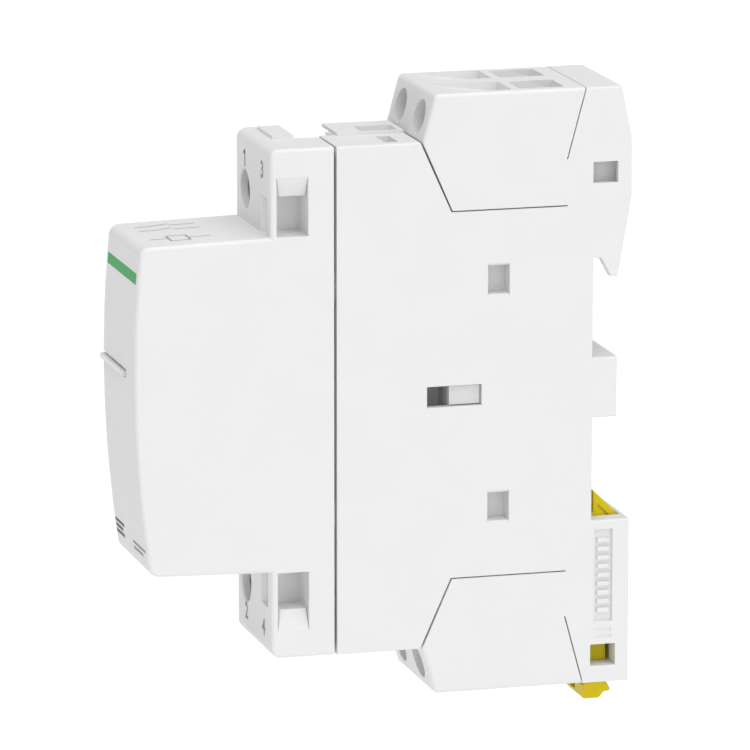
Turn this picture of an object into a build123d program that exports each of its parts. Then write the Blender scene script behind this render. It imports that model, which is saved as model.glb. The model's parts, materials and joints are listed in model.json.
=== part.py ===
"""Modular DIN rail contactor, 18 mm wide, with two normally open poles.

Frame: +X to the right seen from the front, -Y towards the user, +Z up.
The origin is on the front face of the mounting rail, at the rail's centre
line and at the middle of the device's width. All lengths are millimetres.
"""
from build123d import *
from math import atan2, cos, radians, sin
import os

os.makedirs("parts", exist_ok=True)

# ---- driving dimensions of the housing ----
MODULE_WIDTH = 18.0
HALF_W = MODULE_WIDTH / 2
WALL = 1.2
IN_X = HALF_W - WALL          # inner face of the side walls
NOSE_Z = 22.5                 # half of the 45 mm front opening of a panel
NOSE_TIP_Z = 22.05            # the nose tapers slightly to its front
SHOULDER_Z = 34.2
TOP_Z = 40.5
STEP_Y = -44.2                # front face of the shoulders
SEAM_Y = -35.4                # joint between cover and housing
SEAM_GAP = 0.4
COVER_BACK_Y = SEAM_Y - SEAM_GAP / 2
HOUSING_FRONT_Y = SEAM_Y + SEAM_GAP / 2
NOSE_TOP_Y = -61.6
NOSE_MID_Y = -62.55
NOSE_MID_Z = 3.5
NOSE_LOW_Y = -60.6
BLOCK_Y = 5.25                # rear of the two blocks that hold the rail
RAIL_EDGE_Z = 17.6            # seat for the edge of a 35 mm rail
EDGE_R = 0.3
NOSE_R = 0.55                 # side edges of the cover and the shrouds

# ---- terminals ----
POLE_X = 4.5
TILT = 15.6                   # the power terminals lean back by this angle
FACE_Y = -22.78               # centre of a screw hole in the shroud's face
FACE_Z = 36.9
SCREW_R = 1.72
CAGE_TRAVEL = 3.8
COIL_X = -4.5
COIL_Z = 26.7
COIL_SCREW_R = 1.45
COIL_CAGE_TRAVEL = 2.4
COIL_HOLE_R = 2.65

# ---- contacts and carrier ----
CARRIER_TRAVEL = 3.0
OVERTRAVEL = 0.6
TIP_Z = 8.3
BRIDGE_FRONT_Y = -16.4
BRIDGE_T = 1.0
WINDOW_BACK_Y = -9.0
STRIP_T = 1.0
STRIP_W = 4.4
FIXED_PLATE_Y = -21.1
BAR_Y0 = -31.5
BAR_Y1 = -28.5
CARRIER_BACK_Y = -8.0
LUG_FRONT_Y = -19.7
TRENCH_BACK_Y = -31.9
PLATE_FRONT_Y = -33.05
PLATE_Z = SHOULDER_Z + 0.4

# ---- magnet ----
CORE_X0 = -3.9
CORE_X1 = 4.9
CORE_X = (CORE_X0 + CORE_X1) / 2
POLE_FACE_Y = -40.0
YOKE_Y0 = -57.0
YOKE_Y1 = -52.5
CORE_Z = 17.0
SPRING_Z = 19.2
FLANGE_Y0 = -41.5
FLANGE_Y1 = -40.3


def block(x0, x1, y0, y1, z0, z1):
    """Box between two corners."""
    middle = ((x0 + x1) / 2, (y0 + y1) / 2, (z0 + z1) / 2)
    return Location(middle) * Box(x1 - x0, y1 - y0, z1 - z0)


def prism(points, x0, x1):
    """Outline in Y and Z, extruded across the width."""
    outline = Plane.YZ.offset(x0) * make_face(Polyline(*points, close=True))
    return extrude(outline, amount=x1 - x0)


def rod(start, direction, radius, length):
    """Round bar from a point along a direction."""
    return extrude(Plane(origin=start, z_dir=direction) * Circle(radius), amount=length)


def flip(shape):
    """The same piece for the lower half."""
    return mirror(shape, about=Plane.XY)


def both(shape):
    """A feature and its mirror image in the lower half."""
    return shape + flip(shape)


def terminal_place(x):
    """Frame of an upper power terminal: Z runs inwards along its screw."""
    inwards = (0, cos(radians(TILT)), -sin(radians(TILT)))
    return Plane(origin=(x, FACE_Y, FACE_Z), x_dir=(-1, 0, 0), z_dir=inwards).location


def terminal_point(s, u):
    """Y and Z of a point s inwards and u outwards in an upper terminal."""
    c, n = cos(radians(TILT)), sin(radians(TILT))
    return (FACE_Y + s * c + u * n, FACE_Z - s * n + u * c)


def edges_at(shape, spots, reach=0.8):
    """Edges along X that pass close to the given Y and Z spots."""
    found = ShapeList()
    for edge in shape.edges().filter_by(Axis.X):
        centre = edge.center()
        for y, z in spots:
            if abs(centre.Y - y) < reach and abs(centre.Z - z) < reach:
                found.append(edge)
    return found


def soften_sides(shape, radius=EDGE_R, keep=()):
    """Round the outline edges of both side faces, except those near the kept spots."""
    faces = shape.faces().filter_by(Axis.X).sort_by(Axis.X)
    edges = ShapeList()
    for edge in list(faces[0].edges()) + list(faces[-1].edges()):
        centre = edge.center()
        if not any(abs(centre.Y - y) < 0.5 and abs(centre.Z - z) < 0.5 for y, z in keep):
            edges.append(edge)
    return fillet(edges, radius)


def single(shape):
    """The solid itself, where an operation has wrapped it."""
    solids = shape.solids()
    return solids[0] if len(solids) == 1 else shape


def spring(radius, wire, length, turns):
    """Helical spring along +Z from the origin, as one open coil."""
    path = Helix(pitch=(length - wire) / turns, height=length - wire, radius=radius)
    section = Plane(origin=path @ 0, z_dir=path % 0) * Circle(wire / 2)
    return Location((0, 0, wire / 2)) * sweep(section, path=path)


# ------------------------------------------------------------------ housing
SHROUD_TOE = (-23.5, SHOULDER_Z)
SHROUD_HEEL = (-19.4, 24.9)
SHROUD_FLOOR_Z = 24.9
SHROUD_BACK_Y = -3.6
SLIT_Z = 31.05
SLIT_TOP_Y = -1.04
SHROUD_NOSE_Y = -21.8
FIT = 0.18                    # visible gap round the terminal shrouds
TOE_FIT = 0.35

HOOK = [(3.8, TOP_Z), (5.25, 33.65), (5.3, 25.9), (3.4, 14.9), (2.4, 15.0), (1.05, 17.5)]
HOOK_RIB_X = 7.5
FOOT_Y = 3.4
FOOT_Z = 4.1
LOWER_BLOCK_Z = -18.15


def cover_outline():
    """Side outline of the front cover."""
    top = (NOSE_TOP_Y, NOSE_TIP_Z)
    low = (NOSE_LOW_Y, -NOSE_TIP_Z)
    upper = Polyline(top, (STEP_Y, NOSE_Z), (STEP_Y, SHOULDER_Z), (COVER_BACK_Y, SHOULDER_Z),
                     (COVER_BACK_Y, -SHOULDER_Z), (STEP_Y, -SHOULDER_Z), (STEP_Y, -NOSE_Z), low)
    front = ThreePointArc(low, (NOSE_MID_Y, NOSE_MID_Z), top)
    return make_face([*upper.edges(), front])


def front_cover():
    """Nose and shoulders, open to the rear."""
    shell = extrude(Plane.YZ.offset(-HALF_W) * cover_outline(), amount=MODULE_WIDTH)
    shell = fillet(edges_at(shell, [(NOSE_TOP_Y, NOSE_TIP_Z), (NOSE_LOW_Y, -NOSE_TIP_Z)]), 1.5)
    shell = fillet(edges_at(shell, [(STEP_Y, SHOULDER_Z), (STEP_Y, -SHOULDER_Z)]), 1.3)
    shell = soften_sides(shell, NOSE_R, [(COVER_BACK_Y, 0)])
    wall_y = STEP_Y + WALL
    skin_z = SHOULDER_Z - WALL
    nose_in = NOSE_Z - 1.3
    shell -= block(-IN_X, IN_X, wall_y, COVER_BACK_Y + 1, -skin_z, skin_z)
    nose = make_face([
        *Polyline((NOSE_TOP_Y + 1.4, nose_in), (wall_y, nose_in), (wall_y, -nose_in),
                  (NOSE_LOW_Y + 1.4, -nose_in)).edges(),
        ThreePointArc((NOSE_LOW_Y + 1.4, -nose_in), (NOSE_MID_Y + 1.3, NOSE_MID_Z),
                      (NOSE_TOP_Y + 1.4, nose_in))])
    shell -= extrude(Plane.YZ.offset(-IN_X) * nose, amount=2 * IN_X)
    inside = both(block(2.5, HALF_W - 0.5, wall_y - 0.2, -38.05, nose_in - 0.2, 31.6))
    inside += both(block(-1.5, -0.6, wall_y - 0.2, COVER_BACK_Y, nose_in - 0.2, skin_z + 0.2))
    inside += both(trench_walls(-39.9, COVER_BACK_Y))
    for x in (-2.6, 3.6):
        inside += both(block(x - 0.6, x + 0.6, -62.0, -57.9, 11.0, 16.0))
    shell += inside & block(-HALF_W + 0.4, HALF_W - 0.4, -61.0, COVER_BACK_Y, -33.5, 33.5)
    shell += both(block(-6.5, 1.2, -41.9, -39.0, SHOULDER_Z - 0.2, SHOULDER_Z + 0.45))
    shell -= both(trench(1.2))
    for z in (COIL_Z, -COIL_Z):
        shell -= rod((COIL_X, STEP_Y - 1, z), (0, 1, 0), COIL_HOLE_R, 3)
        rim = Plane(origin=(COIL_X, STEP_Y, z), z_dir=(0, 1, 0)).location
        shell -= rim * Location((0, 0, 0.1)) * Cone(COIL_HOLE_R + 0.2, COIL_HOLE_R, 0.2)
        shell -= block(COIL_X - 2.8, COIL_X + 2.8, wall_y, -38.0, z - 2.75, z + 2.75)
    for side in (1, -1):
        cut = side_pocket()
        shell -= cut if side > 0 else flip(cut)
    shell -= block(-HALF_W - 0.1, 4.15, -63.5, -58.2, 3.95, 5.1)
    return shell


def side_pocket():
    """Release pocket in the right-hand side with a sloped roof."""
    y0, y1, x_floor = -43.35, -39.05, 3.7
    cut = block(x_floor, HALF_W + 1, y0, y1, 22.55, 30.5)
    cut += block(x_floor + 0.1, 7.2, STEP_Y - 1, y0 + 0.1, 22.55, 27.6)
    low = Polyline((3.6, y0), (7.2, y0), (7.8, y0 + 0.7), (7.8, y1 - 0.15), (7.2, y1), (3.6, y1), close=True)
    top = Polyline((3.6, y0), (8.2, y0), (HALF_W, y0 + 0.02), (HALF_W, y1 - 0.02), (8.2, y1), (3.6, y1), close=True)
    wedge = loft([make_face(Pos(0, 0, 27.8) * low), make_face(Pos(0, 0, 30.5) * top)], ruled=True)
    return cut - wedge


def trench(near_x):
    """Channel across the shoulder where the coil wire goes in, up to a given X."""
    cut = block(-HALF_W - 1, near_x, -39.0, TRENCH_BACK_Y, 31.0, SHOULDER_Z + 1)
    cut += block(-HALF_W - 1, near_x, -33.0, -29.9, 33.0, SHOULDER_Z + 1)
    cut += block(COIL_X - 2.2, COIL_X + 2.2, -36.4, -33.3, 28.5, 32.0)
    return cut


def trench_walls(y0, y1):
    """Walls and floor below the channel, between two depths."""
    whole = block(-HALF_W + 0.5, 2.2, -39.9, -31.0, 29.8, SHOULDER_Z - 0.3)
    whole += block(-HALF_W + 0.5, 1.4, -31.1, -28.9, 31.8, SHOULDER_Z - 0.3)
    return whole & block(-HALF_W, HALF_W, y0, y1, 0, TOP_Z)


def housing_outline():
    """Side outline of the rear housing, without the terminal shrouds."""
    upper = [(HOUSING_FRONT_Y, SHOULDER_Z), (SHROUD_TOE[0] - TOE_FIT, SHOULDER_Z),
             (SHROUD_HEEL[0] - FIT, SHROUD_FLOOR_Z - FIT),
             (SHROUD_BACK_Y, SHROUD_FLOOR_Z - FIT),
             (SHROUD_BACK_Y, SLIT_Z), (SLIT_TOP_Y, TOP_Z)]
    rear = [(0, RAIL_EDGE_Z), (0, FOOT_Z), (FOOT_Y, FOOT_Z), (FOOT_Y, -FOOT_Z), (0, -FOOT_Z),
            (0, LOWER_BLOCK_Z), (BLOCK_Y, LOWER_BLOCK_Z), (BLOCK_Y, -TOP_Z)]
    lower = [(y, -z) for y, z in reversed(upper)]
    return upper + HOOK + rear + lower


def rear_housing():
    """Main moulding with the contact chambers, rail hook and clip channel."""
    slit_mid = ((SHROUD_BACK_Y + SLIT_TOP_Y) / 2, (SLIT_Z + TOP_Z) / 2)
    floor_mid = ((SHROUD_HEEL[0] + SHROUD_BACK_Y) / 2, SHROUD_FLOOR_Z - FIT)
    back_mid = (SHROUD_BACK_Y, (SHROUD_FLOOR_Z + SLIT_Z) / 2)
    heel_mid = ((SHROUD_TOE[0] + SHROUD_HEEL[0]) / 2 - FIT, (SHOULDER_Z + SHROUD_FLOOR_Z) / 2)
    kept = [(HOUSING_FRONT_Y, 0)]
    for y, z in (slit_mid, floor_mid, back_mid, heel_mid):
        kept += [(y, z), (y, -z)]
    shell = soften_sides(prism(housing_outline(), -HALF_W, HALF_W), EDGE_R, kept)
    in_z = SHROUD_FLOOR_Z - FIT - WALL
    cavity = [(HOUSING_FRONT_Y - 1, SHOULDER_Z - WALL), (SHROUD_TOE[0] - 1.5, SHOULDER_Z - WALL),
              (SHROUD_HEEL[0] - 1.3, in_z), (-WALL, in_z)]
    cavity += [(y, -z) for y, z in reversed(cavity)]
    shell -= prism(cavity, -IN_X, IN_X)
    inner = both(trench_walls(HOUSING_FRONT_Y, -28.0))
    inner += both(block(-3.7, 1.1, -30.0, -24.0, 32.2, SHOULDER_Z - 0.5))
    inner += both(block(1.9, 7.9, -29.0, -25.9, 31.8, SHOULDER_Z - 0.5))
    inner += both(block(-HALF_W + 0.5, -0.6, -32.3, -31.3, 23.6, 30.5))
    inner += both(block(-HALF_W + 0.5, -0.6, -35.15, -31.3, 22.9, 23.7))
    inner += both(block(1.6, 6.4, -36.6, -34.9, 31.6, 32.4))
    inner += both(block(1.6, 8.2, HOUSING_FRONT_Y, -34.2, 31.6, 33.2))
    inner += both(block(-0.5, 0.5, -28.2, -0.8, 4.0, in_z + 0.5))
    inner += block(-3, 3, -7.7, -0.8, -3.2, 3.2)
    for x0, x1 in ((IN_X - 0.8, HALF_W - 0.4), (-HALF_W + 0.4, -IN_X + 0.8)):
        for z0, z1 in ((3.7, 4.5), (-4.5, -3.7)):
            inner += block(x0, x1, -27.0, -8.0, z0, z1)
        reach = 2.4 if x0 > 0 else 0
        inner += both(block(x0 - reach, x1, -15.8, -10.3, 12.2, 18.5))
        if x0 > 0:
            inner += block(6.5, 7.3, -36.6, -34.9, -27.3, 27.3)
            inner += block(6.5, 8.2, HOUSING_FRONT_Y, -34.2, -27.3, 27.3)
            inner += both(block(5.6, 6.4, -36.6, -34.9, 27.0, 32.9))
            inner += both(block(5.6, 8.2, HOUSING_FRONT_Y, -34.2, 27.0, 33.2))
        else:
            inner += both(block(-7.7, -6.9, -36.6, -34.9, 6.4, 22.0))
            inner += both(block(-8.2, -6.9, HOUSING_FRONT_Y, -34.2, 6.4, 22.0))
    inner += both(block(6.5, 7.7, -40.2, -34.9, 14.0, 17.0))
    inner += both(block(-7.7, -5.6, -40.2, -34.9, 14.0, 17.0))
    inner += both(block(6.5, 8.2, HOUSING_FRONT_Y, -33.5, 14.0, 17.0))
    inner += both(block(-8.2, -5.6, HOUSING_FRONT_Y, -33.5, 14.0, 17.0))
    shell += inner
    shell -= both(trench(0.2))
    shell += both(block(-6.5, 1.2, PLATE_FRONT_Y, -23.9, SHOULDER_Z - 0.05, PLATE_Z))
    shell -= both(block(-3.1, 0.5, -29.7, -24.6, SHOULDER_Z - 1.1, SHOULDER_Z + 1))
    shell -= both(block(2.7, 7.3, -28.25, -26.4, SHOULDER_Z - 1.6, SHOULDER_Z + 1))
    for x in (-POLE_X, POLE_X):
        shell -= both(block(x - 2.4, x + 2.4, -15.1, -12.9, in_z - 1.0, SHROUD_FLOOR_Z))
    # carrier slot and moulding recesses in the right-hand wall
    shell -= block(IN_X - 1, HALF_W + 1, -22.9, -15.36, -1.42, 1.42)
    shell -= both(block(6.3, HALF_W + 1, -14.55, -11.55, 13.45, 17.3))
    for z in (13.45, 17.3):
        lip = extrude(Plane.XZ.offset(11.55) * make_face(Polyline(
            (HALF_W - 0.3, z), (HALF_W + 0.1, z - 0.4), (HALF_W + 0.1, z + 0.4), close=True)), amount=3.0)
        shell -= both(lip)
    # upper block: a window in the right-hand side with a wider hollow behind it
    shell -= block(7.0, HALF_W + 1, -0.1, 3.35, 27.65, 30.5)
    shell -= block(6.6, 8.1, -0.6, 3.95, 27.15, 31.0)
    # the hook holds the rail with two side ribs
    shell -= block(-HOOK_RIB_X, HOOK_RIB_X, 0.3, BLOCK_Y + 1, 14.0, 17.45)
    # lower block: channel for the sliding clip, window and nameplate recess
    shell -= block(-6.2, 6.2, 0.6, 4.75, -28.4, LOWER_BLOCK_Z + 1)
    shell -= block(-6.2, 6.2, 0.6, 4.0, -TOP_Z - 1, -28.0)
    shell -= block(6.0, HALF_W + 1, -0.1, 3.4, -38.18, -35.2)
    shell -= nameplate()
    return shell


def nameplate():
    """Shallow framed panel with plain grip ribs."""
    cut = block(HALF_W - 0.4, HALF_W + 1, 0.4, 2.93, -32.05, -19.4)
    for n in range(9):
        z = -20.9 - n * 1.2
        cut -= block(HALF_W - 0.5, HALF_W - 0.02, 0.85, 2.5, z - 0.3, z + 0.3)
    for n in range(2):
        z = -33.2 - n * 0.9
        cut += block(HALF_W - 0.1, HALF_W + 1, 0.5, 2.8, z - 0.22, z + 0.22)
    return cut


def terminal_shroud():
    """Upper shroud: screw holes, cage chambers and wire funnels."""
    outline = [SHROUD_TOE, SHROUD_HEEL, (SHROUD_BACK_Y, SHROUD_FLOOR_Z), (SHROUD_BACK_Y, SLIT_Z),
               (SHROUD_BACK_Y - FIT, SLIT_Z), (SLIT_TOP_Y - FIT, TOP_Z), (SHROUD_NOSE_Y, TOP_Z)]
    body = prism(outline, -HALF_W, HALF_W)
    body = fillet(edges_at(body, [(SHROUD_NOSE_Y, TOP_Z)]), 0.8)
    kept = [((SHROUD_HEEL[0] + SHROUD_BACK_Y) / 2, SHROUD_FLOOR_Z), (SHROUD_BACK_Y, 28.0),
            (SHROUD_BACK_Y - FIT / 2, SLIT_Z), ((SHROUD_BACK_Y + SLIT_TOP_Y) / 2 - FIT, (SLIT_Z + TOP_Z) / 2),
            ((SHROUD_TOE[0] + SHROUD_HEEL[0]) / 2, (SHOULDER_Z + SHROUD_FLOOR_Z) / 2)]
    body = soften_sides(body, NOSE_R, kept)
    for x in (-POLE_X, POLE_X):
        place = terminal_place(x)
        body -= place * Location((0, 0, 2)) * Cylinder(2.4, 6)
        body -= place * Location((0, 0, 10.45)) * Box(6.0, 5.8, 14.1)
        body -= place * Location((0, -7.5, 12.9)) * Box(6.0, 10.0, 10.2)
        low, high = (place * Plane(origin=(0, y, 14.4), z_dir=(0, 1, 0)).location for y in (2.5, 7.6))
        funnel = loft([low * Rectangle(4.2, 3.8), high * Rectangle(6.1, 5.6)])
        body -= single(funnel) + extrude(high * Rectangle(6.1, 5.6), amount=3)
    for x0, x1 in ((1.2, 7.6), (-7.8, -1.7)):
        body -= prism([(-20.8, TOP_Z), (-11.0, TOP_Z - 1.3), (-11.0, TOP_Z + 1), (-20.8, TOP_Z + 1)], x0, x1)
    return body


def clip_outline():
    """Side outline of the sliding rail clip."""
    return [(1.15, -14.75), (4.45, -18.05), (4.45, -22.6), (2.95, -24.3), (2.95, -40.9), (3.8, -42.55),
            (2.8, -42.6), (2.1, -43.45), (-0.2, -43.45), (-0.2, -41.7), (0.8, -40.9), (0.8, -17.7),
            (1.15, -17.7)]


def rail_clip():
    """Yellow sliding clip with a pull tab that holds the rail's lower edge."""
    clip = prism(clip_outline(), -6.0, 6.0)
    clip = fillet(edges_at(clip, [(3.8, -42.55), (2.1, -43.45), (-0.2, -43.45)], 0.3), 0.3)
    for x in (-6.0, 6.0):
        groove = prism([(1.6, -16.9), (1.9, -16.7), (4.2, -19.0), (4.2, -19.4)], x - 0.25, x + 0.25)
        clip -= groove
    clip -= block(-3.4, 3.4, 1.8, 5.0, -38.5, -24.8)
    clip -= block(-2.5, 2.5, -1.0, 0.6, -42.9, -42.2)
    return clip


# ------------------------------------------------------------------ magnet
def fixed_core():
    """E-shaped laminated core with slots for the shading rings."""
    core = block(CORE_X0, CORE_X1, YOKE_Y0, YOKE_Y1, -CORE_Z, CORE_Z)
    core += block(CORE_X0, CORE_X1, YOKE_Y1 - 1, POLE_FACE_Y, -3.5, 3.5)
    core += both(block(CORE_X0, CORE_X1, YOKE_Y1 - 1, POLE_FACE_Y, 13.5, CORE_Z))
    core -= both(block(CORE_X0 - 1, CORE_X1 + 1, -40.8, POLE_FACE_Y + 1, 15.0, 15.5))
    for z in (-13.5, 13.5):
        core -= rod((CORE_X0 - 1, -54.75, z), (1, 0, 0), 1.0, 12)
    return core


def core_rivets():
    """Rivets that hold the laminations together."""
    group = []
    for z in (-13.5, 13.5):
        shank = rod((CORE_X0 - 0.5, -54.75, z), (1, 0, 0), 0.98, CORE_X1 - CORE_X0 + 1.0)
        shank += rod((CORE_X0 - 0.5, -54.75, z), (1, 0, 0), 1.6, 0.5)
        shank += rod((CORE_X1, -54.75, z), (1, 0, 0), 1.6, 0.5)
        group.append(single(shank))
    return Compound(children=group)


def shading_rings():
    """Closed copper rings in the two outer pole faces."""
    ring = block(CORE_X0 - 0.5, CORE_X1 + 0.5, -40.8, -40.2, 15.02, 17.45)
    ring -= block(CORE_X0, CORE_X1, -42, -39, 15.48, CORE_Z)
    return Compound(children=[single(ring), single(flip(ring))])


def coil_bobbin():
    """Bobbin whose rear flange also carries the return springs."""
    body = block(-4.7, 5.7, -52.2, FLANGE_Y1, -4.3, 4.3)
    body += block(-6.3, 7.3, -52.2, -51.4, -13.2, 13.2)
    body += block(-6.3, 7.3, FLANGE_Y0, FLANGE_Y1, -20.8, 20.8)
    body -= block(CORE_X0 - 0.1, CORE_X1 + 0.1, -53, -39, -3.6, 3.6)
    body -= both(block(CORE_X0 - 0.7, CORE_X1 + 0.7, -42, -39, 13.35, 17.6))
    for z in (-SPRING_Z, SPRING_Z):
        body += rod((CORE_X, FLANGE_Y1 - 0.2, z), (0, 1, 0), 0.9, 1.4)
    return body


def coil_winding():
    """Copper winding on the bobbin."""
    body = block(-6.0, 7.0, -51.4, FLANGE_Y0, -12.7, 12.7)
    body = fillet(body.edges().filter_by(Axis.Y), 2.0)
    return body - block(-4.7, 5.7, -53, -40, -4.3, 4.3)


def coil_tape():
    """Insulating tape round the winding."""
    body = fillet(block(-6.2, 7.2, -51.3, FLANGE_Y0 - 0.1, -12.9, 12.9).edges().filter_by(Axis.Y), 2.2)
    inner = fillet(block(-6.0, 7.0, -53, -40, -12.7, 12.7).edges().filter_by(Axis.Y), 2.0)
    return body - inner


def core_buffer():
    """Rubber pads between the core and the front cover."""
    pad = block(-3.6, 4.6, -57.88, YOKE_Y0, 11.0, 16.5)
    return Compound(children=[single(pad), single(flip(pad))])


def armature():
    """Moving iron that the core pulls forwards."""
    body = block(CORE_X0, CORE_X1, -37.0, -32.5, -CORE_Z, CORE_Z)
    body = chamfer(body.edges().filter_by(Axis.Z), 0.3)
    body += block(-1.5, 2.5, -32.7, -29.0, -4.0, 4.0)
    return body - rod((-5, -30.2, 0), (1, 0, 0), 0.95, 10)


def armature_pin():
    """Pin that holds the armature in the carrier."""
    pin = rod((-4.9, -30.2, 0), (1, 0, 0), 0.9, 9.8)
    return chamfer(pin.edges().filter_by(GeomType.CIRCLE), 0.15)


# ------------------------------------------------------------------ carrier and contacts
def contact_carrier():
    """Moulded slide with the spring bar, bridge windows and visible lug."""
    body = block(-5.0, 5.0, BAR_Y0, BAR_Y1, -20.6, 20.6)
    body += block(-7.6, 7.6, BAR_Y1 - 0.5, CARRIER_BACK_Y, -3.5, 3.5)
    for x in (-POLE_X, POLE_X):
        body -= block(x - 2.5, x + 2.5, BRIDGE_FRONT_Y, WINDOW_BACK_Y, -4, 4)
        body += rod((x, WINDOW_BACK_Y + 0.1, 0), (0, -1, 0), 0.8, 1.5)
    body -= block(-1.6, 2.6, BAR_Y0 - 1, -28.8, -4.1, 4.1)
    body -= rod((-5.2, -30.2, 0), (1, 0, 0), 0.95, 10.3)
    body -= block(3.4, 8.0, -28.0, LUG_FRONT_Y - 0.02, -2.3, 2.3)
    body += block(7.4, 8.4, LUG_FRONT_Y, -15.5, -1.25, 1.25)
    for z in (-SPRING_Z, SPRING_Z):
        body += rod((CORE_X, BAR_Y0 + 0.2, z), (0, -1, 0), 0.9, 1.2)
    return body


def position_flag():
    """Indicator bar in the nose with the arm that links it to the carrier."""
    body = block(-8.9, 3.8, -62.95, -58.4, 4.1, 4.75)
    body += block(-7.5, 3.8, -58.5, -57.6, 4.1, 4.75)
    body += block(-7.5, -6.7, -58.1, BAR_Y1 - 0.1, 3.5, 5.3)
    return body + block(-7.4, -5.0, BAR_Y0 + 0.6, BAR_Y1 - 0.1, 3.5, 5.3)


def bridge(x):
    """Moving contact bridge of one pole."""
    back = BRIDGE_FRONT_Y + BRIDGE_T
    body = block(x - 2.2, x + 2.2, BRIDGE_FRONT_Y, back, -10.2, 10.2)
    return chamfer(body.edges().filter_by(Axis.Y), 0.5)


def tips(x, y0, y1, radius):
    """Pair of silver contact tips, above and below the centre."""
    pair = [rod((x, y0, z), (0, 1, 0), radius, y1 - y0) for z in (-TIP_Z, TIP_Z)]
    return Compound(children=pair)


def bent_strip(points, thickness, width, x):
    """Flat bar of even thickness that follows a bent centre line."""
    outer, inner = [], []
    for n, (y, z) in enumerate(points):
        before = points[max(n - 1, 0)]
        here = points[max(n - 1, 0) + 1]
        after = points[min(n + 1, len(points) - 1)]
        start = points[min(n + 1, len(points) - 1) - 1]
        a = atan2(here[1] - before[1], here[0] - before[0])
        b = atan2(after[1] - start[1], after[0] - start[0])
        mid = (a + b) / 2
        reach = thickness / 2 / cos((b - a) / 2)
        outer.append((y - sin(mid) * reach, z + cos(mid) * reach))
        inner.append((y + sin(mid) * reach, z - cos(mid) * reach))
    return prism(outer + inner[::-1], x - width / 2, x + width / 2)


def fixed_contact(x):
    """Brass strip from an upper terminal down to its contact tip."""
    run_z = SHROUD_FLOOR_Z - FIT - WALL - STRIP_T / 2 - 0.05
    s = 11.9
    u_low = (run_z - FACE_Z + s * sin(radians(TILT))) / cos(radians(TILT))
    corner = terminal_point(s, u_low)
    top = terminal_point(s, 2.4)
    return bent_strip([(FIXED_PLATE_Y, 6.5), (FIXED_PLATE_Y, run_z), corner, top], STRIP_T, STRIP_W, x)


def terminal_cage(x):
    """Lifting clamp of an upper power terminal, shown open."""
    body = Location((0, 0, 13.4)) * Box(5.8, 5.4, 7.8)
    body -= Location((0, 0, 13.75)) * Box(4.8, 6, 5.3)
    body -= Location((0, 0, 10)) * Cylinder(SCREW_R + 0.06, 4)
    return terminal_place(x) * body


def terminal_screw(x):
    """Captive screw of an upper power terminal with a crossed slot."""
    body = Location((0, 0, 4.5)) * Cylinder(2.75, 2.0)
    body = chamfer(body.edges().filter_by(GeomType.CIRCLE), 0.25)
    body += Location((0, 0, 8.3)) * Cylinder(SCREW_R, 6.0)
    body -= Location((0, 0, 3.9)) * Box(4.6, 0.8, 1.2)
    body -= Location((0, 0, 3.9)) * Box(0.8, 3.2, 1.2)
    return terminal_place(x) * body


def coil_cage():
    """Lifting clamp of the upper coil terminal, shown open."""
    body = block(COIL_X - 2.7, COIL_X + 2.7, -38.1, -32.5, COIL_Z - 2.4, COIL_Z + 2.4)
    body -= block(COIL_X - 2.3, COIL_X + 2.3, -36.9, -33.3, COIL_Z - 3, COIL_Z + 3)
    return body - rod((COIL_X, -39, COIL_Z), (0, 1, 0), COIL_SCREW_R + 0.06, 3)


def coil_screw():
    """Captive screw of the upper coil terminal."""
    head = rod((COIL_X, -42.8, COIL_Z), (0, 1, 0), 2.55, 1.6)
    head = chamfer(head.edges().filter_by(GeomType.CIRCLE), 0.2)
    head += rod((COIL_X, -41.3, COIL_Z), (0, 1, 0), COIL_SCREW_R, 4.35)
    head -= block(COIL_X - 2.0, COIL_X + 2.0, -43, -41.9, COIL_Z - 0.35, COIL_Z + 0.35)
    return head - block(COIL_X - 0.35, COIL_X + 0.35, -43, -41.9, COIL_Z - 1.4, COIL_Z + 1.4)


def coil_strip():
    """Strip between the coil's flange and the upper coil terminal."""
    body = block(COIL_X - 1.9, COIL_X + 1.9, -36.7, -35.9, 20.9, 28.9)
    return body + block(COIL_X - 1.9, COIL_X + 1.9, FLANGE_Y0 + 0.2, -36.2, 20.9, 21.5)


def laid(shape, x, y, z):
    """A part made along +Z, turned to run along +Y from a point."""
    return Location((x, y, z)) * Rotation(-90, 0, 0) * shape


def write(shape, name):
    """Save one node."""
    export_step(shape, f"parts/{name}.step")


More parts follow.
